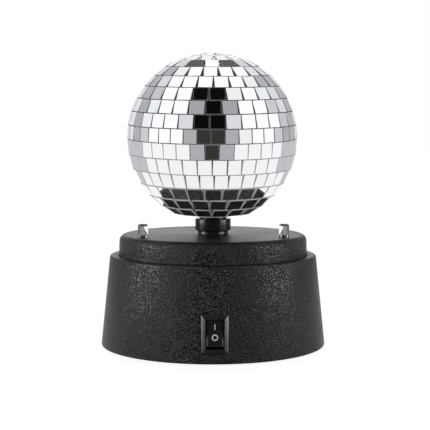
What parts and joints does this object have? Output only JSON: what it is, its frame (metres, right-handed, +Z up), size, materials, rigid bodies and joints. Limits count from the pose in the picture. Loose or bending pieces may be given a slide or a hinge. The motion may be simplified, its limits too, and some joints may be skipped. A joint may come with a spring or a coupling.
{
  "type": "mirror ball",
  "caption": "Mirror ball that turns on a tapered black battery base, with clear lamps in its top and a rocker switch in the front wall.",
  "frame": {"origin": "on the ball's spin axis, in the plane that the feet stand on", "axes": "+Z up along the spin axis, -Y out of the wall that holds the switch, +X to the right of it"},
  "size_m": [0.1328, 0.1351, 0.1732],
  "materials": {
    "base_plastic": "moulded black plastic with a fine leather grain",
    "neck_plastic": "smooth black plastic",
    "ball_plastic": "smooth dark grey plastic",
    "mirror_glass": "silvered glass with ground edges",
    "clear_lens": "water-clear cast epoxy",
    "circuit_board": "green solder mask",
    "steel": "bright plated steel",
    "brass": "turned brass",
    "gear_nylon": "natural moulded nylon",
    "gearbox_plastic": "grey moulded plastic",
    "rubber": "soft black rubber",
    "cell_sleeve": "printed sleeve",
    "wire_red": "smooth insulation",
    "wire_black": "smooth insulation"
  },
  "bodies": {
    "base": {"base_shell": "base_plastic", "top_cover": "base_plastic", "bottom_plate": "base_plastic", "switch_housing": "neck_plastic", "motor_end_cap": "ball_plastic", "led_rear": "clear_lens", "led_front_left": "clear_lens", "led_front_right": "clear_lens", "led_board": "circuit_board", "idler_axle_first": "steel", "idler_axle_second": "steel", "motor_can": "steel", "contact_negative": "steel", "contact_link_left": "steel", "contact_link_right": "steel", "contact_positive": "steel", "case_screw_1": "steel", "case_screw_2": "steel", "case_screw_3": "steel", "case_screw_4": "steel", "gearbox_screw_1": "steel", "gearbox_screw_2": "steel", "shaft_bush": "brass", "gearbox_lower_plate": "gearbox_plastic", "gearbox_upper_plate": "gearbox_plastic", "foot_1": "rubber", "foot_2": "rubber", "foot_3": "rubber", "battery_cell_1": "cell_sleeve", "battery_cell_2": "cell_sleeve", "battery_cell_3": "cell_sleeve", "wire_battery_to_switch": "wire_red", "wire_switch_to_motor": "wire_black"},
    "ball": {"ball_shell_upper": "ball_plastic", "ball_shell_lower": "ball_plastic", "mirror_cap": "mirror_glass", "mirror_row_upper_1": "mirror_glass", "mirror_row_upper_2": "mirror_glass", "mirror_row_upper_3": "mirror_glass", "mirror_row_upper_4": "mirror_glass", "mirror_row_upper_5": "mirror_glass", "mirror_row_upper_6": "mirror_glass", "mirror_row_upper_7": "mirror_glass", "mirror_row_upper_8": "mirror_glass", "mirror_row_upper_9": "mirror_glass", "mirror_row_lower_1": "mirror_glass", "mirror_row_lower_2": "mirror_glass", "mirror_row_lower_3": "mirror_glass", "mirror_row_lower_4": "mirror_glass", "mirror_row_lower_5": "mirror_glass", "mirror_row_lower_6": "mirror_glass", "ball_collar": "neck_plastic", "drive_shaft": "steel", "output_gear": "gear_nylon"},
    "idler_first": {"idler_gear_first": "gear_nylon"},
    "idler_second": {"idler_gear_second": "gear_nylon"},
    "motor_shaft": {"motor_rotor": "steel", "motor_pinion": "brass"},
    "rocker": {"switch_rocker": "neck_plastic"},
    "door": {"battery_door": "base_plastic"}
  },
  "joints": [
    {"name": "ball_spin", "type": "hinge", "parent": "base", "child": "ball", "pos_m": [0, 0, 0.06], "axis": [0, 0, 1], "continuous": true},
    {"name": "second_idler_spin", "type": "hinge", "parent": "base", "child": "idler_second", "pos_m": [0.01568, 0.00905, 0.05], "axis": [0, 0, 1], "continuous": true},
    {"name": "first_idler_spin", "type": "hinge", "parent": "base", "child": "idler_first", "pos_m": [0, 0.0181, 0.045], "axis": [0, 0, 1], "continuous": true},
    {"name": "motor_spin", "type": "hinge", "parent": "base", "child": "motor_shaft", "pos_m": [0, 0.0362, 0.045], "axis": [0, 0, 1], "continuous": true},
    {"name": "switch_press", "type": "hinge", "parent": "base", "child": "rocker", "pos_m": [0, -0.06242, 0.01707], "axis": [1, 0, 0], "range_deg": [0, 18]},
    {"name": "battery_door_swing", "type": "hinge", "parent": "base", "child": "door", "pos_m": [0.02745, 0, 0.0026], "axis": [0, -1, 0], "range_deg": [0, 80]}
  ],
  "couplings": [
    {"joint": "second_idler_spin", "follows": "ball_spin", "ratio": -5},
    {"joint": "first_idler_spin", "follows": "ball_spin", "ratio": 25},
    {"joint": "motor_spin", "follows": "ball_spin", "ratio": -125}
  ]
}
